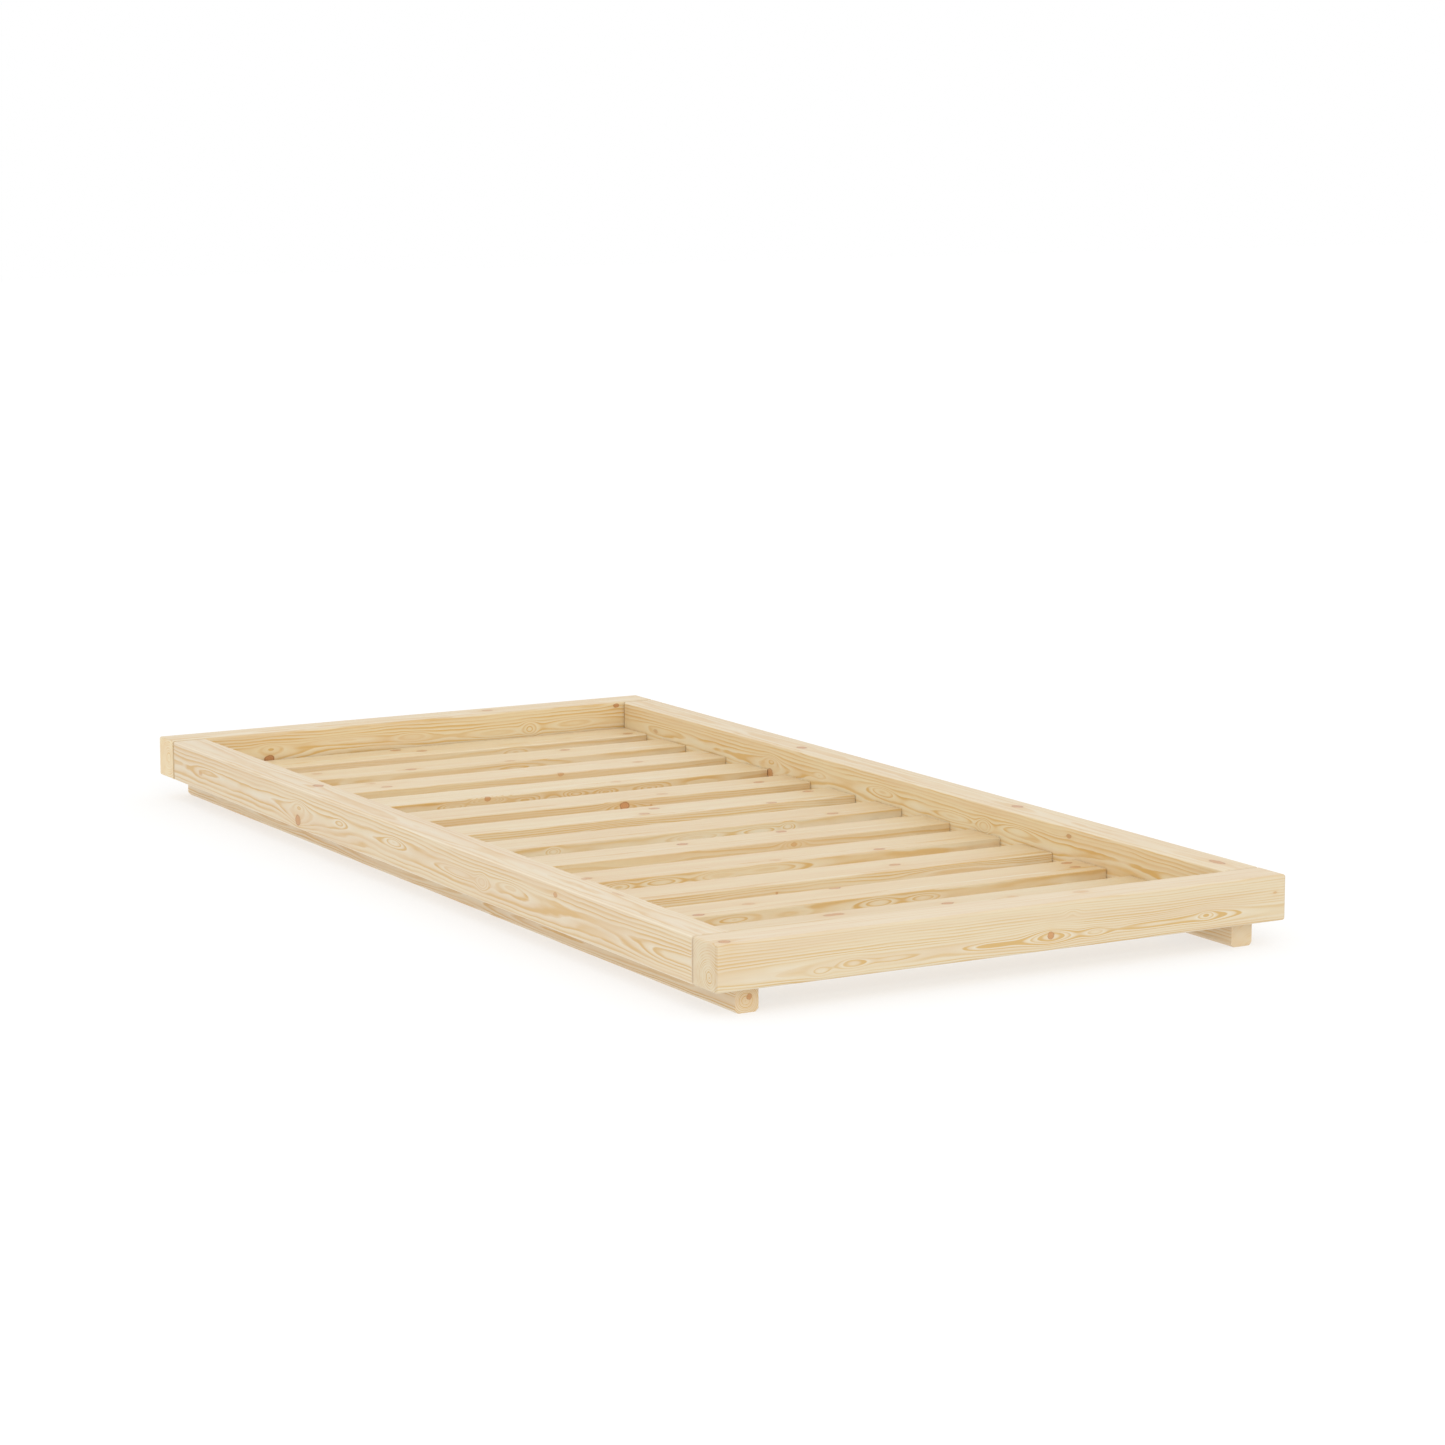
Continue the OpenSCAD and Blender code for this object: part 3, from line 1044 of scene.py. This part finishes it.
def make_dowels(material):
    bm = bmesh.new()
    for low, high in solids("corner_dowels"):
        half = (high.y - low.y) / 2 / MM
        r = half_width(low, high)

        def fluted(angle, r=r):
            return r - FLUTE_DEPTH * max(0, math.cos(FLUTES * angle)) ** 2

        flat = half - DOWEL_CHAMFER
        rings = [(-half, r - DOWEL_CHAMFER), (-flat, fluted), (flat, fluted), (half, r - DOWEL_CHAMFER)]
        spin(bm, rings, 6 * FLUTES, lying((low + high) / 2))
    return new_object("fluted_dowels", bm, material)


def make_studs(material):
    """Hanger bolts: a fine thread for the nut, a plain shank, and a coarse thread in the end rail."""
    bm = bmesh.new()
    for low, high in solids("corner_studs"):
        outward, _ = outward_end(low, high)
        length = (high.y - low.y) / MM
        r = half_width(low, high)
        start = (low + high) / 2
        start.y = low.y if outward > 0 else high.y
        rings = [(0, r - STUD_CHAMFER)]
        rings += thread_rings(NUT_THREAD_START, NUT_THREAD_END, r - NUT_THREAD_DEPTH, r, NUT_PITCH,
                              FINE_STEPS)
        rings += [(height, r - SHANK_INSET) for height in SHANK]
        rings += thread_rings(WOOD_THREAD_START, length - POINT_LENGTH, r - WOOD_THREAD_DEPTH, r,
                              WOOD_PITCH, COARSE_STEPS)
        rings += [(length, POINT_R)]
        spin(bm, rings, THREAD_SIDES, lying(start, outward))
    return new_object("hanger_studs", bm, material)


def half_moon(low, high):
    """The outline of a washer from above, a slice of a circle that bears on its pocket's wall."""
    outward, outer = outward_end(low, high)
    x = (low.x + high.x) / 2
    radius = WASHER_R * MM
    half_angle = math.acos((radius - (high.y - low.y)) / radius)
    centre_y = outer - outward * radius
    arc = []
    for i in range(ARC_STEPS + 1):
        angle = -half_angle + 2 * half_angle * i / ARC_STEPS
        arc.append((x + radius * math.sin(angle), centre_y + outward * radius * math.cos(angle)))
    return arc


def make_washers(material):
    bm = bmesh.new()
    bores = bmesh.new()
    for low, high in solids("crescent_washers"):
        outline = half_moon(low, high)
        skin(bm, [[bm.verts.new((*p, z)) for p in outline] for z in (low.z, high.z)])
        drill = [(-WASHER_DRILL, STUD_BORE), (WASHER_DRILL, STUD_BORE)]
        spin(bores, drill, BORE_SIDES, lying((low + high) / 2))
    bmesh.ops.recalc_face_normals(bm, faces=bm.faces[:])
    bevel(bm, [e for e in bm.edges if e.calc_face_angle(0) > WASHER_EDGE], WASHER_EASE, 2)
    piece = new_object("half_moon_washers", bm, material)
    cut(piece, bores)
    return piece


def make_nuts(material):
    bm = bmesh.new()
    for low, high in solids("corner_nuts"):
        half = (high.y - low.y) / 2 / MM
        flats = min(high.x - low.x, high.z - low.z) / MM
        hexagon = hexagon_radius(flats)

        def chamfered(angle):
            return min(hexagon(angle), flats / 2 + NUT_CORNER)

        # From the flats up over the chamfered end and down into the bore
        upper = [(half - NUT_CHAMFER, hexagon), (half - NUT_RIM, chamfered), (half, flats / 2 - NUT_FACE),
                 (half, STUD_BORE + BORE_CHAMFER), (half - BORE_CHAMFER, STUD_BORE)]
        lower = [(-height, radius) for height, radius in upper]
        spin(bm, upper + lower[::-1], NUT_SIDES, lying((low + high) / 2), loop=True)
    return new_object("hex_nuts", bm, material)


def make_screws(material):
    """Countersunk screws with a hexagon socket, a plain shank and a coarse thread."""
    socket = hexagon_radius(SOCKET_FLATS)
    bm = bmesh.new()
    for low, high in solids("runner_screws"):
        length = (high.z - low.z) / MM
        head = half_width(low, high)
        # From the socket's floor out over the head and along the shank to the point
        rings = [(SOCKET_DEPTH, socket), (SOCKET_MOUTH_DEPTH, socket), (0, SOCKET_MOUTH_R)]
        rings += [(0, head - HEAD_RIM), (HEAD_RIM, head)]
        rings += [(SCREW_HEAD, SCREW_SHANK_R), (SCREW_SHANK_END, SCREW_SHANK_R)]
        rings += thread_rings(SCREW_SHANK_END + 1, length - SCREW_POINT, SCREW_CORE, SCREW_R,
                              SCREW_PITCH, COARSE_STEPS)
        rings += [(length, SCREW_TIP_R)]
        spin(bm, rings, THREAD_SIDES, upright(foot(low, high)))
    return new_object("countersunk_screws", bm, material)


def staple_line(half, low_z, high_z):
    """The middle of a staple's wire: down one leg, round its two bends and up the other."""
    crown = low_z + STAPLE_THICK / 2
    line = [Vector((-half, 0, high_z)), Vector((-half, 0, crown + STAPLE_BEND))]
    for i in range(1, BEND_STEPS + 1):
        angle = math.pi / 2 * i / BEND_STEPS
        x = -half + STAPLE_BEND - STAPLE_BEND * math.cos(angle)
        z = crown + STAPLE_BEND - STAPLE_BEND * math.sin(angle)
        line.append(Vector((x, 0, z)))
    return line + [Vector((-p.x, 0, p.z)) for p in reversed(line)]


def make_staples(material):
    """Staples of flat wire with chisel points, driven up through the tapes into the slats."""
    bm = bmesh.new()
    thick = STAPLE_THICK / 2
    for low, high in solids("tape_staples"):
        middle = Vector(((low.x + high.x) / 2, (low.y + high.y) / 2, 0))
        wide = (high.y - low.y) / 2
        section = both_halves([(0.8 * wide, thick), (wide, 0.6 * thick), (wide, -0.6 * thick),
                               (0.8 * wide, -thick)])
        line = staple_line((high.x - low.x) / 2 - thick, low.z, high.z)
        rows = []
        for i, p in enumerate(line):
            tangent = (line[min(i + 1, len(line) - 1)] - line[max(i - 1, 0)]).normalized()
            side = Vector((-tangent.z, 0, tangent.x))
            taper = STAPLE_POINT if i in (0, len(line) - 1) else 1.0
            places = [middle + p + Vector((0, a * taper, 0)) + side * b for a, b in section]
            rows.append([bm.verts.new(place) for place in places])
        skin(bm, rows)
    return new_object("wire_staples", bm, material)


def tape_sag(y, gaps):
    """How far a tape hangs down here, in the gaps between the slats."""
    for start, end in gaps:
        if start < y < end:
            return TAPE_SAG * math.sin(math.pi * (y - start) / (end - start)) ** 2
    return 0


def make_tape(node, material):
    """A flat tape with thinner edges. It hangs down a little between the slats."""
    low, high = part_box(node)
    middle = (low + high) / 2
    half = (high.x - low.x) / 2
    thick = (high.z - low.z) / 2
    section = both_halves([(-half, 0), (-half * 0.97, thick), (-half * 0.6, thick * 0.9), (0, thick),
                           (half * 0.6, thick * 0.9), (half * 0.97, thick)])
    boxes = [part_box(slat) for slat in SLATS]
    gaps = [(before[1].y, after[0].y) for before, after in zip(boxes, boxes[1:])]
    bm = bmesh.new()
    rows = []
    for k in range(TAPE_STEPS + 1):
        y = low.y + (high.y - low.y) * k / TAPE_STEPS
        z = middle.z - tape_sag(y, gaps)
        rows.append([bm.verts.new((middle.x + a, y, z + b)) for a, b in section])
    skin(bm, rows)
    return new_object(node + "_webbing", bm, material)


def make_fittings():
    steel = zinc_steel()
    plans = [
        (make_dowels, beech(), "frame", "corner_dowels", "beech_dowel"),
        (make_studs, steel, "frame", "corner_studs", "zinc_steel"),
        (make_washers, steel, "frame", "crescent_washers", "zinc_steel"),
        (make_nuts, steel, "frame", "corner_nuts", "zinc_steel"),
        (make_screws, steel, "frame", "runner_screws", "zinc_steel"),
        (make_staples, steel, "slat_base", "tape_staples", "zinc_steel"),
    ]
    for make, material, body, node, slot in plans:
        join_frame(soften(make(material)), body, node)


def make_tapes():
    cloth = webbing()
    for node in ("left_tape", "right_tape"):
        tape = join_frame(soften(make_tape(node, cloth)), "slat_base", node)


def make_floor():
    bm = bmesh.new()
    bmesh.ops.create_grid(bm, x_segments=8, y_segments=8, size=FLOOR_SIZE / 2)
    floor = new_object("floor", bm, floor_paint())
    floor.location.z = -FLOOR_DROP


make_camera()
make_light()
make_floor()
make_boards()
make_fittings()
make_tapes()
